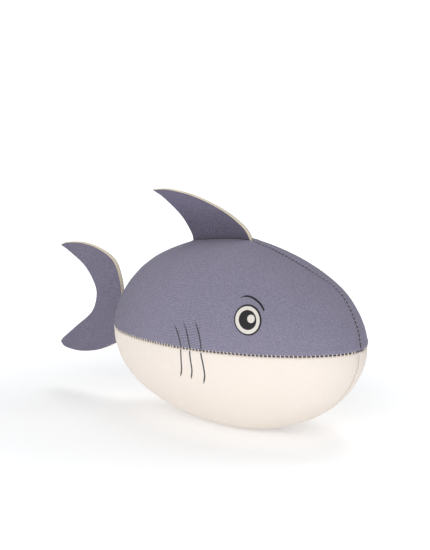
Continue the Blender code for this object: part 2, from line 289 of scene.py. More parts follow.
def edge_pull(distance, run, strength):
    """How far the skin dips near a seam: a rolled edge, a dent at each stitch, puckers and a trough."""
    edge = np.clip(1 - distance / (EDGE_ROLL * 1.35), 0, 1)
    roll = EDGE_ROLL * (1 - np.sqrt(1 - edge**2 * 0.98))
    stitch = 0.5 + 0.5 * np.cos(2 * math.pi * run / STITCH_PITCH)
    dents = DENT_DEPTH * stitch * np.exp(-distance / DENT_REACH)
    wander = 1.3 * np.sin(run / (17 * MM)) + 0.8 * np.sin(run / (41 * MM) + 1.0)
    puckers = PUCKER_DEPTH * np.sin(run / PUCKER_TURN + wander) * np.exp(-distance / PUCKER_REACH)
    trough = TROUGH_DEPTH * np.exp(-distance / TROUGH_REACH)
    return (roll + dents + puckers + trough) * strength


def ridge_lumps(x, from_centre, side):
    """The stuffing's flats and humps along the back: behind the fin, in front of it, and over the snout."""
    total = 0.0
    for right, left, place, length, reach in RIDGE_LUMPS:
        height = right if side < 0 else left
        total = total + height * hump(x - place, length) * hump(from_centre, reach)
    return total


def make_grid(part, side):
    """One skin panel's outer and inner surface, with its seams, puckers and stuffing lumps."""
    x = even_columns()[:, None]
    share = np.linspace(0, 1, ROWS)
    eased = 0.5 - 0.5 * np.cos(math.pi * share)
    turn = (EVEN_AND_EASED[0] * share + EVEN_AND_EASED[1] * eased)[None, :] * math.pi / 2
    up = 1 if part == "upper" else -1
    angle = turn * up if side > 0 else math.pi - turn * up
    smooth = skin_points(x, angle)
    normals = skin_normals(x, np.clip(angle, angle.min() + 1e-3, angle.max() - 1e-3))
    from_side = travel(smooth, 1)
    from_centre = from_side[:, -1:] - from_side
    side_run = np.broadcast_to(travel(smooth[:, :1], 0), from_side.shape)
    centre_run = np.broadcast_to(travel(smooth[:, -1:], 0), from_side.shape)
    side_pull = 1 - SHALLOW_REAR * (1 - smooth_step(side_run, *SHALLOW_UNTIL))
    dip = edge_pull(from_side, side_run, side_pull) + edge_pull(from_centre, centre_run, CENTRE_PULL)
    lumps = BIG_LUMPS[0] * soft_noise(smooth, BIG_LUMPS[1], 5 + side)
    lumps = lumps + SMALL_LUMPS[0] * soft_noise(smooth, SMALL_LUMPS[1], 9 + side)
    off_floor = smooth_step(smooth[..., 2], 0.0, FLAT_BELOW)
    if part == "upper":
        lumps = lumps + ridge_lumps(x, from_centre, side)
    tangent = unit(np.gradient(smooth, axis=1))
    gap = SIDE_GAP * np.exp(-from_side / GAP_REACH) - CENTRE_OVERLAP * np.exp(-from_centre / GAP_REACH)
    outer = smooth + normals * ((lumps * off_floor - dip)[..., None]) + tangent * gap[..., None]
    inner = smooth - normals * (SKIN + EDGE_ROLL) + tangent * gap[..., None]
    if part == "upper":
        outer[..., 2] += pulled_by_dorsal_fin(smooth)
        overhang = SNOUT_OVERHANG * hump(from_side - 3.2 * MM, 2.4 * MM) * smooth_step(x, *SNOUT_FROM)
        outer += normals * overhang[..., None]
        wander = SEAM_WANDER * hump(x - WANDER_X, 17 * MM) * hump(from_centre, 14 * MM)
        outer[..., 1] += wander
        inner[..., 1] += wander
    outer = open_for_fins(outer)
    inner = open_for_fins(inner)
    outer[..., 2] = np.maximum(outer[..., 2], 0.0)
    GRIDS[part, side] = {
        "outer": outer,
        "inner": inner,
        "normals": normals,
        "from_side": from_side,
        "from_centre": from_centre,
        "side_run": side_run[:, 0],
        "centre_run": centre_run[:, 0],
    }


def pulled_by_dorsal_fin(points):
    """How far the back rises at the ends of the fin's straight root, and sinks between them."""
    length = DORSAL_ROOT[1] - DORSAL_ROOT[0]
    share = (points[..., 0] - DORSAL_ROOT[0]) / length
    outside = np.maximum(np.abs(share - 0.5) - 0.5, 0) * length
    inside = np.clip(np.abs(share - 0.5) * 2, 0, 1)
    rise = (1.5 * inside**2 - 0.6) * MM * np.exp(-outside / (5 * MM))
    return rise * hump(points[..., 1], 11 * MM) * (points[..., 2] > SEAM_HEIGHT)


def within(value, start, end, ramp):
    """1 from start to end, falling smoothly to 0 over a ramp outside them."""
    return smooth_step(value, start - ramp, start) * (1 - smooth_step(value, end, end + ramp))


def open_for_fins(points):
    """Moves the centre seam's edges apart where a fin's sheet is sewn in."""
    x, y, z = points[..., 0], points[..., 1], points[..., 2]
    back = within(x, *DORSAL_ROOT, 1.5 * MM) * (z > SEAM_HEIGHT)
    rear = within(z, *TAIL_ROOT, 1.5 * MM) * (x < MIDDLE_X)
    opening = (FIN_HALF + FIN_CLEARANCE) * np.maximum(back, rear) * np.exp(-np.abs(y) / (3 * MM))
    moved = points.copy()
    moved[..., 1] = y + np.sign(y) * opening
    return moved


def at_seam(grid, run, distance, line="side"):
    """A point and normal on a panel, at a length along one of its seams and a distance in from it."""
    column = np.interp(run, grid[f"{line}_run"], np.arange(COLUMNS))
    low = int(min(column, COLUMNS - 2))
    weight = column - low
    found = []
    for index in (low, low + 1):
        inward = grid[f"from_{line}"][index]
        order = np.argsort(inward)
        rows = np.interp(distance, inward[order], order)
        row = int(min(rows, ROWS - 2))
        part = rows - row
        point = grid["outer"][index, row] * (1 - part) + grid["outer"][index, row + 1] * part
        found.append((point, grid["normals"][index, row]))
    point = found[0][0] * (1 - weight) + found[1][0] * weight
    return point, found[0][1]


# Materials.


class Nodes:
    """A short way to build a material's node tree."""

    def __init__(self, name):
        self.material = bpy.data.materials.new(name)
        self.material.use_nodes = True
        self.tree = self.material.node_tree
        self.shader = self.tree.nodes["Principled BSDF"]

    def add(self, kind, **settings):
        node = self.tree.nodes.new(kind)
        for key, value in settings.items():
            if hasattr(node, key):
                setattr(node, key, value)
            else:
                node.inputs[key.replace("_", " ")].default_value = value
        return node

    def link(self, source, target):
        self.tree.links.new(source, target)

    def math(self, operation, first, second=0.5):
        node = self.tree.nodes.new("ShaderNodeMath")
        node.operation = operation
        for socket, value in zip(node.inputs, (first, second)):
            if isinstance(value, (int, float)):
                socket.default_value = value
            else:
                self.link(value, socket)
        return node.outputs[0]

    def ramp(self, source, between, values):
        """A value that goes smoothly from the first to the second while the source crosses a range."""
        node = self.add("ShaderNodeMapRange", interpolation_type="SMOOTHSTEP")
        for socket, value in zip(node.inputs[1:5], (*between, *values)):
            socket.default_value = value
        self.link(source, node.inputs[0])
        return node.outputs[0]

    def noise(self, scale, detail):
        place = self.add("ShaderNodeTexCoord")
        node = self.add("ShaderNodeTexNoise", Scale=scale, Detail=detail)
        self.link(place.outputs["Object"], node.inputs["Vector"])
        return node.outputs["Fac"]

    def set(self, **values):
        for key, value in values.items():
            self.shader.inputs[key.replace("_", " ")].default_value = value

    def shade(self, colour, factor, depth):
        """Links the base colour: a colour made darker and lighter by a factor between 0 and 1."""
        dark = tuple(c * (1 - depth) for c in colour) + (1.0,)
        light = tuple(min(c * (1 + depth), 1.0) for c in colour) + (1.0,)
        mix = self.add("ShaderNodeMix", data_type="RGBA")
        mix.inputs[6].default_value = dark
        mix.inputs[7].default_value = light
        self.link(factor, mix.inputs[0])
        self.link(mix.outputs[2], self.shader.inputs["Base Color"])

    def bump(self, height, strength, distance):
        node = self.add("ShaderNodeBump", Strength=strength, Distance=distance)
        self.link(height, node.inputs["Height"])
        self.link(node.outputs["Normal"], self.shader.inputs["Normal"])


# The knit. Its ripples are rows that slant both ways from a fold part of the way along the body.
RIPPLE_FOLD = 118 * MM
RIPPLE_TURN = 16 * MM
RIPPLE_SLANT = 0.33
RIPPLE_SCALE = 160.0
RIPPLE_HALVING = 38 * MM
RIPPLE_END = (135 * MM, 185 * MM)
RIPPLE_LEFT = 0.18
PATCHY_SCALE = 34.0
PATCHY_GAIN = 4.0
PATCHY_MIDDLE = 0.9
PATCHY_RANGE = (0.15, 1.4)
GRAIN_SCALE = 1250.0
GRAIN_GAIN = 4
CLOUD_SCALE = 60.0
CLOUD_DEPTH = 0.08
# Painted shade on the body's grey: darker over this length from the rear end.
REAR_PAINTED_SHADE = (0.0, 110 * MM)
# Painted shade and painted light on the dorsal fin: the heights, and what is added to its shade from the
# darker root to the lighter tip.
DORSAL_PAINTED_LIGHT_AND_SHADE = ((0.142, 0.170), (-0.10, 0.34))


def knit_ripples(nodes, along, up):
    """The faint rows: strongest at the side seam, stronger in some patches, and nearly gone at the snout."""
    past_fold = nodes.math("SUBTRACT", along, RIPPLE_FOLD)
    rounded = nodes.math("ADD", nodes.math("MULTIPLY", past_fold, past_fold), RIPPLE_TURN**2)
    from_fold = nodes.math("SQRT", rounded)
    slanted = nodes.math("SUBTRACT", up, nodes.math("MULTIPLY", from_fold, RIPPLE_SLANT))
    joined = nodes.add("ShaderNodeCombineXYZ")
    nodes.link(along, joined.inputs[0])
    nodes.link(slanted, joined.inputs[1])
    rows = nodes.add("ShaderNodeTexWave", bands_direction="Y", Scale=RIPPLE_SCALE, Distortion=5.5, Detail=2.0)
    rows.inputs["Detail Scale"].default_value = 0.5
    nodes.link(joined.outputs[0], rows.inputs["Vector"])
    near_seam = nodes.math("POWER", 0.5, nodes.math("DIVIDE", up, RIPPLE_HALVING))
    ripples = nodes.math("MULTIPLY", nodes.math("SUBTRACT", rows.outputs["Fac"], 0.5), near_seam)
    patchy = nodes.math("SUBTRACT", nodes.noise(PATCHY_SCALE, 1.0), 0.5)
    patchy = nodes.math("ADD", nodes.math("MULTIPLY", patchy, PATCHY_GAIN), PATCHY_MIDDLE)
    patchy = nodes.math("MAXIMUM", nodes.math("MINIMUM", patchy, PATCHY_RANGE[1]), PATCHY_RANGE[0])
    ripples = nodes.math("MULTIPLY", ripples, patchy)
    return nodes.math("MULTIPLY", ripples, nodes.ramp(along, RIPPLE_END, (1.0, RIPPLE_LEFT)))


def knit_material(name, colour, ripple_depth, grain_depth, contrast=0.5, mottle_and_painted_shading=None, painted_rear_shade=0.0):
    """Fine knit bonded to foam: a heathered grain, and the faint ripples of its rows where it is stretched.

    Painted light and shade can go up the piece by height, and painted shade can make it darker towards the
    tail.
    """
    nodes = Nodes(name)
    cloth = nodes.add("ShaderNodeUVMap", uv_map="cloth")
    split = nodes.add("ShaderNodeSeparateXYZ")
    nodes.link(cloth.outputs["UV"], split.inputs[0])
    ripples = knit_ripples(nodes, split.outputs["X"], split.outputs["Y"])
    grain = nodes.math("SUBTRACT", nodes.noise(GRAIN_SCALE, 3.0), 0.5)
    clouds = nodes.math("SUBTRACT", nodes.noise(CLOUD_SCALE, 2.0), 0.5)
    ripple_shade = nodes.math("MULTIPLY", ripples, ripple_depth)
    shade = nodes.math("ADD", ripple_shade, nodes.math("MULTIPLY", grain, grain_depth * GRAIN_GAIN))
    shade = nodes.math("ADD", shade, nodes.math("MULTIPLY", clouds, CLOUD_DEPTH))
    # Painted light and shade by height: darker low on the piece, lighter high on it.
    if mottle_and_painted_shading:
        heights, shares = mottle_and_painted_shading
        place = nodes.add("ShaderNodeTexCoord")
        object_axes = nodes.add("ShaderNodeSeparateXYZ")
        nodes.link(place.outputs["Object"], object_axes.inputs[0])
        shade = nodes.math("ADD", shade, nodes.ramp(object_axes.outputs["Z"], heights, shares))
    # Painted shade: the knit darker towards the tail.
    if painted_rear_shade:
        rear = nodes.ramp(split.outputs["X"], REAR_PAINTED_SHADE, (-painted_rear_shade, 0.0))
        shade = nodes.math("ADD", shade, rear)
    nodes.shade(colour, nodes.math("ADD", shade, 0.5), contrast)
    nodes.bump(nodes.math("ADD", nodes.math("MULTIPLY", ripples, 0.7), grain), 0.35, 0.0003)
    nodes.set(Roughness=0.92, Sheen_Weight=0.06, Sheen_Roughness=0.5, Specular_IOR_Level=0.2)
    return nodes.material


def foam_material():
    nodes = Nodes("foam_edge")
    pores = nodes.noise(2600.0, 2.0)
    nodes.shade((0.80, 0.70, 0.55), pores, 0.12)
    nodes.bump(pores, 0.4, 0.0002)
    nodes.set(Roughness=0.9, Specular_IOR_Level=0.15)
    nodes.set(Subsurface_Weight=0.12, Subsurface_Scale=0.002)
    return nodes.material


def thread_material(name, colour):
    nodes = Nodes(name)
    ply = nodes.noise(2200.0, 2.0)
    nodes.shade(colour, ply, 0.14)
    nodes.bump(ply, 0.4, 0.0001)
    nodes.set(Roughness=0.75, Sheen_Weight=0.2)
    return nodes.material


def ink_material(name, colour, mottle_and_painted_shading):
    nodes = Nodes(name)
    speckle = nodes.noise(1300.0, 3.0)
    nodes.shade(colour, speckle, mottle_and_painted_shading)
    nodes.bump(speckle, 0.25, 0.0001)
    nodes.set(Roughness=0.62, Specular_IOR_Level=0.3)
    return nodes.material


def fibre_material():
    nodes = Nodes("fibre_filling_look")
    strands = nodes.noise(420.0, 8.0)
    nodes.shade((0.85, 0.85, 0.83), strands, 0.12)
    nodes.bump(strands, 0.8, 0.001)
    nodes.set(Roughness=1.0)
    return nodes.material


# The body's grey, with painted shade towards the rear.
GREY = knit_material(
    "grey_knit_look", (0.240, 0.223, 0.300), ripple_depth=0.33, grain_depth=0.28, painted_rear_shade=0.22
)
# The dorsal fin's knit: the tail fin's knit made darker with painted shade, and painted light and shade up
# its height.
DORSAL_PAINTED_SHADE_GREY = knit_material(
    "dorsal_knit_painted_shade_look", (0.110, 0.099, 0.144), ripple_depth=0.08, grain_depth=0.40, mottle_and_painted_shading=DORSAL_PAINTED_LIGHT_AND_SHADE
)
TAIL_GREY = knit_material("tail_knit_look", (0.172, 0.158, 0.216), ripple_depth=0.08, grain_depth=0.34)
CREAM = knit_material(
    "cream_knit_look", (0.865, 0.785, 0.715), ripple_depth=0.05, grain_depth=0.12, contrast=0.12
)
FOAM = foam_material()
CREAM_THREAD = thread_material("cream_thread_look", (0.85, 0.77, 0.66))
GREY_THREAD = thread_material("grey_thread_look", (0.33, 0.31, 0.38))
# A near-black colour for the cords of painted shade in the seam gaps and in the dorsal fin's root crease.
PAINTED_SHADE_MATERIAL = thread_material("painted_shade_look", (0.050, 0.030, 0.038))
INK = ink_material("dark_print_look", (0.016, 0.015, 0.018), 0.35)
WHITE_INK = ink_material("white_print_look", (0.74, 0.70, 0.645), 0.04)
GILL_INK = ink_material("gill_print_look", (0.060, 0.070, 0.078), 0.30)
FIBRE = fibre_material()


# Stuffed body.

FILLING_GAP = 1.6 * MM
FILLING_ROUGHNESS = 0.8 * MM


def add_cloth_uv(obj, u, v):
    """A UV map in metres, so that the knit has its real size. Both faces of a slab share it."""
    values = np.stack([np.tile(u.ravel(), 2), np.tile(v.ravel(), 2)], axis=-1)
    extra = len(obj.data.vertices) - len(values)
    values = np.concatenate([values, np.zeros((extra, 2))])
    layer = obj.data.uv_layers.new(name="cloth")
    corners = np.zeros(len(obj.data.loops), dtype=np.int64)
    obj.data.loops.foreach_get("vertex_index", corners)
    layer.data.foreach_set("uv", values[corners].astype(np.float32).ravel())


def skin_panel(part, word, side):
    make_grid(part, side)
    grid = GRIDS[part, side]
    vertices, faces = slab(grid["outer"], grid["inner"])
    name = f"{part}_skin_{word}"
    material = GREY if part == "upper" else CREAM
    obj = new_object(name, vertices, outward(vertices, faces), material)
    length = np.broadcast_to(travel(grid["outer"], 0)[:, ROWS // 2][:, None], grid["from_side"].shape)
    add_cloth_uv(obj, length, grid["from_side"])
    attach(obj, "body")
    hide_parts(f"{part}_panel_{word}")


def filling():
    turn = np.linspace(0.12, math.pi - 0.12, 60)
    x = (MIDDLE_X - HALF_LENGTH * np.cos(turn))[:, None]
    angle = np.linspace(0, 2 * math.pi, 72, endpoint=False)[None, :]
    smooth = skin_points(x, angle)
    depth = SKIN + EDGE_ROLL + FILLING_GAP + FILLING_ROUGHNESS * soft_noise(smooth, 14 * MM, 3)
    points = smooth - skin_normals(x, angle) * depth[..., None]
    vertices = np.concatenate([points.reshape(-1, 3), points[0].mean(0)[None], points[-1].mean(0)[None]])
    faces = ring_faces(*points.shape[:2], flip=True)
    obj = new_object("stuffing", vertices, outward(vertices, faces), FIBRE)
    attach(obj, "body")
    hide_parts("fibre_filling")


# Threads, and dark cords of painted shade. A stitch leg is three points on each panel, as shares of its reach
# from the seam and of its lift.

STITCH_SLANT = -0.8 * MM
STITCH_LIFT = 0.50 * MM
STITCH_LEG = ((1.0, -0.25), (0.72, 0.45), (0.2, 1.0))
STITCH_SWELL = (0.75, 1.0, 1.05, 1.05, 1.0, 0.75)
SEAM_END = 2 * MM
ZIGZAG_RADIUS = 0.36 * MM
ZIGZAG_REACH = 1.05 * MM
BACK_RADIUS = 0.30 * MM
BACK_REACH = 0.8 * MM
BELLY_RADIUS = 0.22 * MM
BELLY_REACH = 0.7 * MM
# Dark cords of painted shade in the seams' gaps: their depth and radius at the rear and at the front, and
# where along the seam they change.
SIDE_SHADE_CORD = ((0.80 * MM, 0.35 * MM), (0.20 * MM, 0.42 * MM), (0.15, 0.75))
BACK_SHADE_CORD = ((0.30 * MM, -0.16 * MM), (0.24 * MM, 0.56 * MM), (0.45, 0.80))
SHADE_CORD_STEP = 1.2 * MM
# The dark cord of painted shade in the dorsal fin's root crease: its radius, and how far out and up it sits.
ROOT_SHADE_CORD_RADIUS = 0.34 * MM
ROOT_SHADE_CORD_OUT = 0.30 * MM
ROOT_SHADE_CORD_UP = 0.28 * MM


def tube(points, radii, sides=7):
    """A closed tube through points, with a radius at each."""
    points = np.asarray(points, float)
    heading = unit(np.gradient(points, axis=0))
    across = unit(np.cross(heading[0], [0.31, 0.52, 0.79]))
    rings = []
    for place, direction, radius in zip(points, heading, radii):
        across = unit(across - direction * (across @ direction))
        other = np.cross(direction, across)
        turn = np.arange(sides) * 2 * math.pi / sides
        rings.append(place + radius * (np.cos(turn)[:, None] * across + np.sin(turn)[:, None] * other))
    vertices = np.concatenate(rings + [points[:1], points[-1:]])
    return vertices, ring_faces(len(points), sides)


def join(shapes):
    vertices, faces, start = [], [], 0
    for points, corners in shapes:
        vertices.append(points)
        faces += [[start + index for index in face] for face in corners]
        start += len(points)
    return np.concatenate(vertices), faces


def stitch_bar(first, second, line, run, reach, slant, radius, lift):
    """One visible leg of a zigzag stitch, over a seam from one panel to the other."""
    legs = [(first, 1, *leg) for leg in STITCH_LEG] + [(second, -1, *leg) for leg in STITCH_LEG[::-1]]
    places = []
    for grid, sign, share, height in legs:
        point, normal = at_seam(grid, run + sign * slant * share / 2, reach * share, line)
        places.append(point + normal * lift * height)
    places[2:4] = [places[2] * 0.75 + places[3] * 0.25, places[2] * 0.25 + places[3] * 0.75]
    return tube(places, [radius * share for share in STITCH_SWELL])


def seam_stitches(name, seam, start, end, radius, reach, material, node):
    """A row of stitches along a seam, which is its two panels' grids and the name of its line."""
    rng = np.random.default_rng(len(name))
    bars = []
    for index in range(int((end - start) / STITCH_PITCH)):
        run = start + (index + 0.5) * STITCH_PITCH
        slant = STITCH_SLANT * rng.uniform(0.6, 1.4)
        spread = reach * rng.uniform(0.70, 1.25)
        tight = 1 - TIGHT_REAR * (1 - smooth_step(run, *TIGHT_UNTIL))
        lift = STITCH_LIFT * tight * rng.uniform(0.6, 1.25)
        bars.append(stitch_bar(*seam, run, spread, slant, radius * tight, lift))
    vertices, faces = join(bars)
    obj = new_object(name, vertices, faces, material)
    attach(obj, "body")
    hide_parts(node)


def painted_shade_cord(name, seam, start, end, depths, radii, between):
    """A dark cord at the bottom of a seam, painted shade for the dark of the gap."""
    first, second, line = seam
    places, sizes = [], []
    for run in np.arange(start, end, SHADE_CORD_STEP):
        share = smooth_step((run - start) / (end - start), *between)
        a, normal = at_seam(first, run, 0.0, line)
        b, _ = at_seam(second, run, 0.0, line)
        places.append((a + b) / 2 - normal * (depths[0] * (1 - share) + depths[1] * share))
        sizes.append(radii[0] * (1 - share) + radii[1] * share)
    vertices, faces = tube(places, sizes)
    obj = new_object(name, vertices, faces, PAINTED_SHADE_MATERIAL)
    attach(obj, "body")


def fin_root_shade_cord(word, side, start, end):
    """A dark cord in the crease between the dorsal fin and one panel, painted shade for the crease."""
    places = []
    for run in np.arange(start + 0.5 * MM, end - 0.5 * MM, 1.0 * MM):
        point, _ = at_seam(GRIDS["upper", side], run, 0.9 * MM, "centre")
        places.append([point[0], side * (FIN_HALF + ROOT_SHADE_CORD_OUT), point[2] + ROOT_SHADE_CORD_UP])
    vertices, faces = tube(places, [ROOT_SHADE_CORD_RADIUS] * len(places))
    obj = new_object(f"dorsal_root_painted_shade_{word}", vertices, faces, PAINTED_SHADE_MATERIAL)
    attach(obj, "body")


def back_run_at(x):
    """The length along the back seam to its point nearest an x, searching only from x = 0 forwards."""
    grid = GRIDS["upper", -1]
    edge_x = grid["outer"][:, -1, 0]
    distances = np.where(edge_x >= 0.0, np.abs(edge_x - x), 1.0)
    return grid["centre_run"][np.argmin(distances)]


def side_seams():
    for word, side in SIDES:
        seam = (GRIDS["upper", side], GRIDS["belly", side], "side")
        length = seam[0]["side_run"][-1]
        seam_stitches(
            f"side_seam_zigzag_{word}", seam, SEAM_END, length - SEAM_END, ZIGZAG_RADIUS, ZIGZAG_REACH,
            CREAM_THREAD, f"side_seam_thread_{word}",
        )
        # A dark cord of painted shade in the side seam's gap.
        painted_shade_cord(f"side_seam_lock_thread_{word}", seam, 1 * MM, length - 1 * MM, *SIDE_SHADE_CORD)


def back_seam():
    right = GRIDS["upper", -1]
    seam = (right, GRIDS["upper", 1], "centre")
    length = right["centre_run"][-1]
    fin_from, fin_to = (back_run_at(x) for x in DORSAL_ROOT)
    rear = slice(0, COLUMNS // 3)
    tail_top = np.interp(TAIL_ROOT[1], right["outer"][rear, -1, 2], right["centre_run"][rear])
    spans = (
        ("rear", tail_top + SEAM_END, fin_from - SEAM_END),
        ("front", fin_to + SEAM_END, length - SEAM_END),
    )
    for word, start, end in spans:
        seam_stitches(
            f"back_seam_stitches_{word}", seam, start, end, BACK_RADIUS, BACK_REACH,
            GREY_THREAD, f"back_seam_thread_{word}",
        )
        # A dark cord of painted shade in the back seam's gap.
        painted_shade_cord(f"back_seam_lock_thread_{word}", seam, start, end, *BACK_SHADE_CORD)
    # Painted shade in the crease on each side of the dorsal fin's root.
    for word, side in SIDES:
        fin_root_shade_cord(word, side, fin_from, fin_to)


def belly_seam():
    right = GRIDS["belly", -1]
    seam = (right, GRIDS["belly", 1], "centre")
    length = right["centre_run"][-1]
    low_edge = right["outer"][: COLUMNS // 3, -1, 2][::-1]
    tail_low = np.interp(TAIL_ROOT[0], low_edge, right["centre_run"][: COLUMNS // 3][::-1])
    seam_stitches(
        "belly_seam_stitches", seam, tail_low + SEAM_END, length - SEAM_END, BELLY_RADIUS, BELLY_REACH,
        CREAM_THREAD, "belly_seam_thread",
    )


# Fins.

FOAM_HALF = 1.78 * MM
KNIT_GAP = 0.02 * MM
FOAM_BULGE = 0.18 * MM
KNIT_BULGE = 0.10 * MM
KNIT_SET_BACK = 0.75 * MM
SHEET_ROWS = 26
DORSAL_COLUMNS = 72
DORSAL_DEPTH = 3.5 * MM
DORSAL_LEAN = 6.5 * MM
TAIL_COLUMNS = 140
TAIL_CURL = 1.6 * MM


def smooth_line(points, steps=14):
    """A smooth line through points, as a Catmull-Rom spline with end points mirrored."""
    points = np.asarray(points, float)
    padded = np.concatenate([2 * points[:1] - points[1:2], points, 2 * points[-1:] - points[-2:-1]])
    line = []
    for p0, p1, p2, p3 in zip(padded, padded[1:], padded[2:], padded[3:]):
        for share in np.linspace(0, 1, steps, endpoint=False):
            a = 2 * p1 + (p2 - p0) * share + (2 * p0 - 5 * p1 + 4 * p2 - p3) * share**2
            line.append((a + (3 * p1 - p0 - 3 * p2 + p3) * share**3) / 2)
    line.append(points[-1])
    return np.array(line)


def spaced(line, count, ease=0.0):
    """Points at even lengths along a line, or closer together at its ends."""
    travelled = np.concatenate([[0], np.cumsum(np.linalg.norm(np.diff(line, axis=0), axis=-1))])
    share = np.linspace(0, 1, count)
    share = share * (1 - ease) + ease * (0.5 - 0.5 * np.cos(math.pi * share))
    lengths = share * travelled[-1]
    return np.stack([np.interp(lengths, travelled, line[:, k]) for k in range(line.shape[1])], axis=-1)


def fin_sheet(first_edge, second_edge, columns):
    """A fin's flat shape as a grid of (x, z) points between its two edges, from lists of their points."""
    edges = [spaced(smooth_line(points), columns, 0.3) for points in (first_edge, second_edge)]
    return band(*edges, SHEET_ROWS)


def sheet_layer(name, sheet, y_of, low, high, bulge, material):
    """A closed layer of a fin between two heights off its middle surface. Its cut edge bulges a little."""
    columns, rows = sheet.shape[:2]
    middle = y_of(sheet[..., 0], sheet[..., 1])
    surfaces = []
    for offset in (low, high):
        surfaces.append(np.stack([sheet[..., 0], middle + offset, sheet[..., 1]], axis=-1))
    flat = surfaces[0].reshape(-1, 3)[border_loop(columns, rows, 0)]
    along = unit(np.roll(flat, -1, 0) - np.roll(flat, 1, 0))
    out = np.cross(along, [0.0, 1.0, 0.0])
    if np.einsum("ij,ij->i", out, flat - flat.mean(0)).sum() < 0:
        out = -out
    edge_rows = []
    for share in (0.15, 0.5, 0.85):
        swell_out = bulge * math.sin(math.pi * share)
        edge_rows.append(flat + out * swell_out + np.array([0.0, (high - low) * share, 0.0]))
    vertices, faces = slab(*surfaces, edge_rows=edge_rows)
    obj = new_object(name, vertices, outward(vertices, faces), material)
    add_cloth_uv(obj, sheet[..., 0], sheet[..., 1])
    return obj


def set_back(sheet, insets):
    """The sheet with its first edge moved in, so that the foam's corner shows beside the knit."""
    across = sheet[:, -1] - sheet[:, 0]
    width = np.linalg.norm(across, axis=-1)
    share = np.minimum(insets / np.maximum(width, 1e-6), 0.4)[:, None, None]
    return sheet + (sheet[:, -1:] - sheet) * share


def fin(name, sheet, y_of, knit, insets):
    """Foam between two knit faces, bending from the body's seam to the free fin."""
    inside = FOAM_HALF + KNIT_GAP
    layers = [
        ("foam", -FOAM_HALF, FOAM_HALF, FOAM_BULGE, FOAM, f"{name}_foam_core", "foam_core"),
        ("knit_right", -FIN_HALF, -inside, KNIT_BULGE, knit, f"{name}_right_face", "grey_knit"),
        ("knit_left", inside, FIN_HALF, KNIT_BULGE, knit, f"{name}_left_face", "grey_knit"),
    ]
    knit_sheet = set_back(sheet, insets)
    for word, low, high, bulge, material, node, slot in layers:
        cut = sheet if word == "foam" else knit_sheet
        obj = sheet_layer(f"{name}_{word}", cut, y_of, low, high, bulge, material)
        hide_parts(node)
        if word == "foam":
            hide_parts(f"{name}_root_tab")
        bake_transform(obj)


def back_z(x):
    """The height of the smooth back above one place."""
    return float(skin_points(np.array([x]), np.array([math.pi / 2]))[0, 2])


def dorsal_fin():
    low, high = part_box("dorsal_fin_foam_core")
    tip_x = low.x + 0.8 * MM
    rear, front = DORSAL_ROOT
    rear_z, front_z = back_z(rear), back_z(front)
    leading = [
        (front + 0.5 * MM, front_z - DORSAL_DEPTH),
        (front - 0.3 * MM, front_z + 1.5 * MM),
        (0.0412, 0.1473),
        (0.0245, 0.1578),
        (-0.0010, 0.1667),
        (-0.0235, 0.1698),
        (tip_x, 0.1686),
    ]
    trailing = [
        (rear + 0.5 * MM, rear_z - DORSAL_DEPTH),
        (rear, rear_z + 1.0 * MM),
        (-0.0070, 0.1393),
        (-0.0146, 0.1510),
        (-0.0290, 0.1628),
        (tip_x, 0.1680),
    ]
    sheet = fin_sheet(leading, trailing, DORSAL_COLUMNS)
    root_z = (rear_z + front_z) / 2

    def lean(x, z):
        """How far the fin leans to the right by its tip, with a slight wave."""
        rise = np.clip((z - root_z - 2 * MM) / (high.z - root_z), 0, 1)
        return -DORSAL_LEAN * rise**1.1 + 0.25 * MM * np.sin(x / (9 * MM)) * rise

    insets = KNIT_SET_BACK * smooth_step(np.linspace(0, 1, len(sheet)), 0.25, 0.8)
    fin("dorsal_fin", sheet, lean, DORSAL_PAINTED_SHADE_GREY, insets)


def tail_fin():
    low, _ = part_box("tail_fin_foam_core")
    bottom_z, top_z = TAIL_ROOT
    inside = REAR_X + 4.5 * MM
    outer_line = [
        (low.x + 2.9 * MM, 0.1164),
        (-0.1330, 0.1186),
        (-0.1162, 0.1197),
        (-0.0986, 0.1159),
        (-0.0849, 0.1078),
        (-0.0788, 0.0940),
        (REAR_X + 1.2 * MM, top_z + 6 * MM),
        (inside, top_z),
        (inside, (top_z + bottom_z) / 2),
        (inside, bottom_z),
        (-0.0832, 0.0433),
        (-0.0945, 0.0380),
        (-0.1057, 0.0341),
        (-0.1220, 0.0315),
        (-0.1366, 0.0327),
        (low.x + 0.5 * MM, 0.0359),
    ]
    inner_line = [
        (low.x + 2.8 * MM, 0.1158),
        (-0.1303, 0.1117),
        (-0.1144, 0.1014),
        (-0.1045, 0.0878),
        (-0.1030, 0.0775),
        (-0.1082, 0.0649),
        (-0.1236, 0.0521),
        (-0.1380, 0.0405),
        (low.x + 0.4 * MM, 0.0373),
    ]
    sheet = fin_sheet(outer_line, inner_line, TAIL_COLUMNS)

    def curl(x, z):
        """How far the fin curls to the right away from its root, with a slight wave."""
        reach = np.clip((REAR_X - 3 * MM - x) / (REAR_X - low.x), 0, 1)
        return -TAIL_CURL * reach**1.5 + 0.3 * MM * np.sin(z / (11 * MM)) * reach

    insets = KNIT_SET_BACK * (1 - smooth_step(np.linspace(0, 1, len(sheet)), 0.12, 0.30))
    fin("tail_fin", sheet, curl, TAIL_GREY, insets)


# Prints. Their shapes are (x, z) on either side, laid on the skin. The eye's sizes are shares of its outline.

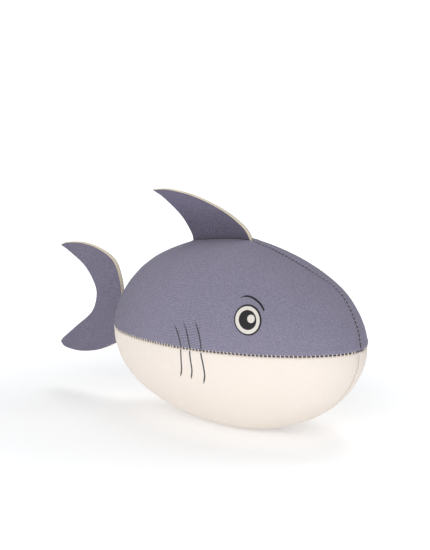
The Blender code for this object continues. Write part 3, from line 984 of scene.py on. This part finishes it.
EYE_CENTRE = np.array([78.4, 90.8]) * MM
EYE_HALF = np.array([9.05, 11.2]) * MM
EYE_TILT = math.radians(45.0)
EYE_INNER = 0.895
EYE_INNER_SHIFT = np.array([0.16, 0.10]) * MM
EYE_WHITE = 0.96
EYE_PUPIL = 0.64
CATCHLIGHT_SHIFT = np.array([2.3, 1.0]) * MM
CATCHLIGHT_HALF = np.array([2.5, 3.0]) * MM
BROW = (
    (68.4, 104.5), (71.3, 105.9), (74.8, 106.0), (78.6, 104.9),
    (82.4, 103.0), (85.6, 100.6), (88.2, 97.6),
)
GILLS_ABOVE = (
    ((16.6, 80.8), (20.6, 77.0), (23.4, 72.3), (25.0, 68.0), (25.7, 65.0)),
    ((26.4, 83.3), (30.3, 77.8), (32.8, 71.2), (34.0, 67.0), (34.4, 65.3)),
    ((36.6, 86.0), (40.4, 80.5), (43.2, 74.0), (44.3, 68.5), (44.7, 65.7)),
)
GILLS_BELOW = (
    ((25.2, 63.9), (25.6, 61.0), (25.7, 55.6), (25.2, 48.7), (23.1, 43.0)),
    ((33.8, 64.2), (34.4, 60.4), (35.2, 53.9), (35.2, 49.1), (33.3, 42.8)),
    ((44.0, 64.5), (44.6, 61.5), (46.0, 54.9), (46.3, 47.6), (44.1, 40.8)),
)
# Pens: a stroke's width, and the shares of its length over which it tapers at its start and its end.
BROW_PEN = (1.15 * MM, 0.22, 0.04)
UPPER_GILL_PEN = (1.15 * MM, 0.35, 0.02)
LOWER_GILL_PEN = (1.2 * MM, 0.03, 0.12)
FILM = 0.05 * MM
FILM_LIFT = 0.03 * MM
TREES = {}


def panel_tree(part, side):
    key = (part, side)
    if key not in TREES:
        vertices = GRIDS[key]["outer"].reshape(-1, 3)
        faces = grid_faces(COLUMNS, ROWS, 0, False).tolist()
        TREES[key] = BVHTree.FromPolygons([tuple(v) for v in vertices], faces)
    return TREES[key]


def on_skin(flat, side, part, lift):
    """Points of a print, given as (x, z), laid on the panel and lifted off it."""
    x, z = flat[..., 0], flat[..., 1]
    angle = angle_at(x, z, side)
    smooth = skin_points(x, angle)
    normals = skin_normals(x, angle)
    tree = panel_tree(part, side)
    placed = smooth.reshape(-1, 3).copy()
    for index, (point, normal) in enumerate(zip(placed.copy(), normals.reshape(-1, 3))):
        hit = tree.ray_cast(Vector(point + normal * 6 * MM), Vector(-normal), 12 * MM)
        base = np.array(hit[0]) if hit[0] else point
        placed[index] = base + normal * lift
    return placed.reshape(smooth.shape)


def film(name, flat, side, part, level, material, node, closed=False):
    """A printed shape as a thin film, from a grid of (x, z) points. A closed one joins its two ends."""
    lift = FILM_LIFT + level * FILM
    low = on_skin(flat, side, part, lift)
    high = on_skin(flat, side, part, lift + FILM)
    vertices, faces = ring_slab(high, low) if closed else slab(high, low)
    obj = new_object(name, vertices, outward(vertices, faces), material)
    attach(obj, "body")
    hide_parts(node)


def ring_slab(high, low):
    """A closed band: columns run round it and join, rows run across it."""
    columns, rows = high.shape[:2]
    size = columns * rows
    vertices = np.concatenate([high.reshape(-1, 3), low.reshape(-1, 3)])
    faces = []
    for i in range(columns):
        after = (i + 1) % columns
        for j in range(rows - 1):
            a, b = i * rows + j, after * rows + j
            faces.append([a, b, b + 1, a + 1])
            faces.append([size + a, size + a + 1, size + b + 1, size + b])
        first, other = i * rows, after * rows
        faces.append([first, size + first, size + other, other])
        last, other = i * rows + rows - 1, after * rows + rows - 1
        faces.append([last, other, size + other, size + last])
    return vertices, faces


def ellipse(centre, half, share=1.0, count=72):
    turn = np.linspace(0, 2 * math.pi, count, endpoint=False)
    across = np.cos(turn) * half[0] * share
    up = np.sin(turn) * half[1] * share
    x = centre[0] + across * math.cos(EYE_TILT) - up * math.sin(EYE_TILT)
    z = centre[1] + across * math.sin(EYE_TILT) + up * math.cos(EYE_TILT)
    return np.stack([x, z], axis=-1)


def disc(outline, rows=9):
    """A filled outline as a band that closes almost to its centre."""
    centre = outline.mean(0)
    return band(outline, centre + (outline - centre) * 0.004, rows)


def stroke(points, width, taper_start, taper_end, count=40):
    """A pen stroke along a smooth line, as a narrow grid of (x, z) points."""
    line = spaced(smooth_line(np.array(points) * MM), count)
    heading = unit(np.gradient(line, axis=0))
    normal = np.stack([-heading[:, 1], heading[:, 0]], axis=-1)
    share = np.linspace(0, 1, count)
    start = np.clip(share / taper_start, 0.12, 1) ** 0.7
    end = np.clip((1 - share) / taper_end, 0.25, 1) ** 0.7
    size = width * start * end
    across = np.linspace(-0.5, 0.5, 4)[None, :, None]
    return line[:, None] + normal[:, None] * across * size[:, None, None]


def eye_prints(word, side):
    inner = ellipse(EYE_CENTRE - EYE_INNER_SHIFT, EYE_HALF, EYE_INNER)
    catchlight = ellipse(EYE_CENTRE + CATCHLIGHT_SHIFT, CATCHLIGHT_HALF)
    shapes = (
        ("white", disc(ellipse(EYE_CENTRE, EYE_HALF, EYE_WHITE), 12), 0, WHITE_INK, "white_print"),
        ("outline", band(ellipse(EYE_CENTRE, EYE_HALF), inner, 4), 1, INK, "dark_print"),
        ("pupil", disc(ellipse(EYE_CENTRE, EYE_HALF, EYE_PUPIL)), 1, INK, "dark_print"),
        ("catchlight", disc(catchlight, 6), 2, WHITE_INK, "white_print"),
    )
    for piece, flat, level, ink, slot in shapes:
        name = f"eye_{piece}_print_{word}"
        film(name, flat, side, "upper", level, ink, f"eye_{piece}_{word}", closed=True)


def line_prints(word, side):
    brow = stroke(BROW, *BROW_PEN)
    film(f"brow_print_{word}", brow, side, "upper", 0, INK, f"brow_ink_{word}")
    for number, (above, below) in enumerate(zip(GILLS_ABOVE, GILLS_BELOW), start=1):
        halves = (
            ("upper", "upper", stroke(above, *UPPER_GILL_PEN)),
            ("lower", "belly", stroke(below, *LOWER_GILL_PEN)),
        )
        for half, part, flat in halves:
            name = f"{half}_gill_print_{number}_{word}"
            film(name, flat, side, part, 0, GILL_INK, f"{half}_gill_{number}_{word}")


# Stage.

FLOOR_COLOUR = (0.93, 0.93, 0.93, 1.0)
FLOOR_SIZE = 150.0
FLOOR_Z = -0.0002
# The floor glows faintly, a painted light, more with distance from a place near the toy; its dimmer glow
# there is a painted shadow beside the toy.
PAINTED_SHADOW_CENTRE = (-0.035, -0.015, 0.0)
GLOW_DISTANCES = (0.08, 0.42)
GLOW_STRENGTHS = (0.235, 0.62)
GLOW_COLOUR = (0.965, 1.0, 1.035, 1.0)
WHITE = (1.0, 1.0, 1.0, 1.0)
WORLD_LIGHT = 0.46
LIGHT_AIM = Vector((0.02, 0.0, 0.07))
LIGHT_DISTANCE = 1.4
# Name, azimuth, elevation, size and power.
LIGHTS = (
    ("front_softbox", 15.0, 16.0, 1.2, 8.8),
    ("top_softbox", 192.0, 66.0, 0.8, 4.9),
)
CAMERA_AZIMUTH = 38.0
CAMERA_ELEVATION = 12.66
CAMERA_DISTANCE = 1.125
CAMERA_AIM = Vector((0.0066, 0.0, 0.0652))
CAMERA_SENSOR = 36.0
CAMERA_SHIFT = (0.0139, 0.1009)
FRAME_HEIGHT_AT_AIM = 0.4125


def add_floor():
    nodes = Nodes("floor_look")
    nodes.set(Base_Color=FLOOR_COLOUR, Roughness=0.9, Specular_IOR_Level=0.1)
    place = nodes.add("ShaderNodeTexCoord")
    distance = nodes.add("ShaderNodeVectorMath", operation="DISTANCE")
    nodes.link(place.outputs["Object"], distance.inputs[0])
    # The painted shadow's centre, where the floor's painted glow is least.
    distance.inputs[1].default_value = PAINTED_SHADOW_CENTRE
    glow = nodes.ramp(distance.outputs["Value"], GLOW_DISTANCES, GLOW_STRENGTHS)
    nodes.link(glow, nodes.shader.inputs["Emission Strength"])
    nodes.set(Emission_Color=GLOW_COLOUR)
    bm = bmesh.new()
    bmesh.ops.create_grid(bm, x_segments=1, y_segments=1, size=FLOOR_SIZE)
    mesh = bpy.data.meshes.new("floor")
    bm.to_mesh(mesh)
    bm.free()
    mesh.materials.append(nodes.material)
    floor = bpy.data.objects.new("floor", mesh)
    floor.location.z = FLOOR_Z
    bpy.context.scene.collection.objects.link(floor)


def towards(azimuth, elevation):
    """The direction from the toy to a place round it. Azimuth 0 is on the toy's right."""
    turn, rise = math.radians(azimuth), math.radians(elevation)
    return Vector((math.sin(turn) * math.cos(rise), -math.cos(turn) * math.cos(rise), math.sin(rise)))


def put_round_toy(name, data, aim, direction, distance):
    """A light or a camera at a distance from the place that it looks at."""
    obj = bpy.data.objects.new(name, data)
    obj.location = aim + direction * distance
    obj.rotation_euler = (-direction).to_track_quat("-Z", "Y").to_euler()
    bpy.context.scene.collection.objects.link(obj)
    return obj


def add_light(name, azimuth, elevation, size, power):
    data = bpy.data.lights.new(name, "AREA")
    data.size = size
    data.energy = power
    put_round_toy(name, data, LIGHT_AIM, towards(azimuth, elevation), LIGHT_DISTANCE)


def add_world():
    """An even light, dimmer than the white background that the camera sees."""
    world = bpy.data.worlds.new("studio")
    world.use_nodes = True
    tree = world.node_tree
    light = tree.nodes["Background"]
    light.inputs["Color"].default_value = WHITE
    light.inputs["Strength"].default_value = WORLD_LIGHT
    seen = tree.nodes.new("ShaderNodeBackground")
    seen.inputs["Color"].default_value = WHITE
    path = tree.nodes.new("ShaderNodeLightPath")
    mix = tree.nodes.new("ShaderNodeMixShader")
    tree.links.new(path.outputs["Is Camera Ray"], mix.inputs[0])
    tree.links.new(light.outputs[0], mix.inputs[1])
    tree.links.new(seen.outputs[0], mix.inputs[2])
    tree.links.new(mix.outputs[0], tree.nodes["World Output"].inputs["Surface"])
    bpy.context.scene.world = world
    bpy.context.scene.view_settings.view_transform = "Standard"


def add_camera():
    data = bpy.data.cameras.new("camera")
    data.sensor_width = CAMERA_SENSOR
    data.lens = data.sensor_width * CAMERA_DISTANCE / FRAME_HEIGHT_AT_AIM
    data.shift_x, data.shift_y = CAMERA_SHIFT
    direction = towards(CAMERA_AZIMUTH, CAMERA_ELEVATION)
    bpy.context.scene.camera = put_round_toy("camera", data, CAMERA_AIM, direction, CAMERA_DISTANCE)


add_camera()
add_floor()
add_world()
for light_settings in LIGHTS:
    add_light(*light_settings)
for body_part in ("upper", "belly"):
    for side_word, side_sign in SIDES:
        skin_panel(body_part, side_word, side_sign)
filling()
side_seams()
back_seam()
belly_seam()
dorsal_fin()
tail_fin()
for side_word, side_sign in SIDES:
    eye_prints(side_word, side_sign)
    line_prints(side_word, side_sign)
